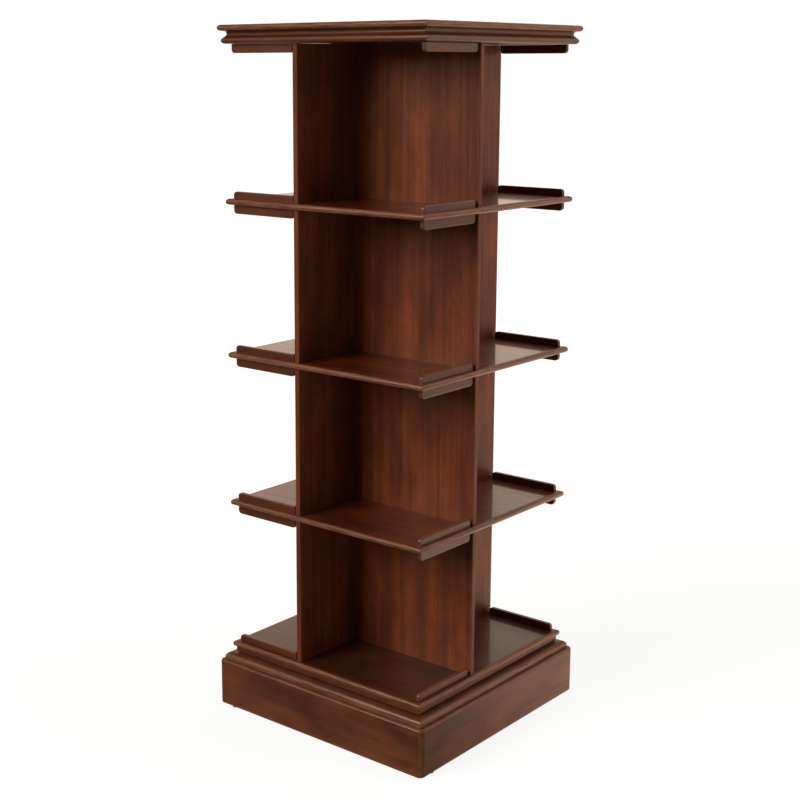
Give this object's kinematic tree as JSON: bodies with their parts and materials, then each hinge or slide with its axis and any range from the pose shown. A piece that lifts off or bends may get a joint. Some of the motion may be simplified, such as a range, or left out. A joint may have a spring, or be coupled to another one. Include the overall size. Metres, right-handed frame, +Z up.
{
  "type": "revolving display rack",
  "caption": "Tall square revolving display rack in dark polished mahogany, with open corner compartments on a moulded plinth.",
  "frame": {"origin": "on the floor under the turning axis, which is the middle of the plinth", "axes": "+Z up along the turning axis; -Y is the front; +X is to the right seen from the front"},
  "size_m": [0.4872, 0.4872, 1.2755],
  "materials": {
    "panel_mahogany": "dark red-brown polished mahogany, upright ribbon grain",
    "shelf_mahogany": "dark red-brown polished mahogany, glossy",
    "edge_mahogany": "solid mahogany mouldings and lips, satin, lighter where rubbed",
    "plinth_mahogany": "polished mahogany, satin",
    "bright_steel": "turned and hardened",
    "nylon": "turned nylon",
    "felt": "brown felt"
  },
  "bodies": {
    "base": {"plinth_board_front": "plinth_mahogany", "plinth_board_right": "plinth_mahogany", "plinth_board_back": "plinth_mahogany", "plinth_board_left": "plinth_mahogany", "base_board": "edge_mahogany", "felt_pad_front": "felt", "felt_pad_right": "felt", "felt_pad_back": "felt", "felt_pad_left": "felt", "centre_post": "bright_steel", "lower_race": "bright_steel"},
    "case": {"top_board": "shelf_mahogany", "top_moulding_front": "edge_mahogany", "top_moulding_right": "edge_mahogany", "top_moulding_back": "edge_mahogany", "top_moulding_left": "edge_mahogany", "bottom_shelf": "shelf_mahogany", "shelf_1": "shelf_mahogany", "shelf_2": "shelf_mahogany", "shelf_3": "shelf_mahogany", "turntable_board": "edge_mahogany", "panel_tier1_front": "panel_mahogany", "panel_tier1_right": "panel_mahogany", "panel_tier1_back": "panel_mahogany", "panel_tier1_left": "panel_mahogany", "panel_tier2_front": "panel_mahogany", "panel_tier2_right": "panel_mahogany", "panel_tier2_back": "panel_mahogany", "panel_tier2_left": "panel_mahogany", "panel_tier3_front": "panel_mahogany", "panel_tier3_right": "panel_mahogany", "panel_tier3_back": "panel_mahogany", "panel_tier3_left": "panel_mahogany", "panel_tier4_front": "panel_mahogany", "panel_tier4_right": "panel_mahogany", "panel_tier4_back": "panel_mahogany", "panel_tier4_left": "panel_mahogany", "bottom_lip_front": "edge_mahogany", "bottom_lip_right": "edge_mahogany", "bottom_lip_back": "edge_mahogany", "bottom_lip_left": "edge_mahogany", "lip_1_front": "edge_mahogany", "lip_1_right": "edge_mahogany", "lip_1_back": "edge_mahogany", "lip_1_left": "edge_mahogany", "lip_2_front": "edge_mahogany", "lip_2_right": "edge_mahogany", "lip_2_back": "edge_mahogany", "lip_2_left": "edge_mahogany", "lip_3_front": "edge_mahogany", "lip_3_right": "edge_mahogany", "lip_3_back": "edge_mahogany", "lip_3_left": "edge_mahogany", "top_lip_front": "edge_mahogany", "top_lip_right": "edge_mahogany", "top_lip_back": "edge_mahogany", "top_lip_left": "edge_mahogany", "upper_race": "bright_steel", "top_bush": "nylon"},
    "ball_ring": {"ball_cage": "bright_steel"}
  },
  "joints": [
    {"name": "case_spin", "type": "hinge", "parent": "base", "child": "case", "pos_m": [0, 0, 0], "axis": [0, 0, 1], "continuous": true},
    {"name": "ball_ring_spin", "type": "hinge", "parent": "base", "child": "ball_ring", "pos_m": [0, 0, 0], "axis": [0, 0, 1], "continuous": true}
  ],
  "couplings": [
    {"joint": "ball_ring_spin", "follows": "case_spin", "ratio": 0.5}
  ]
}
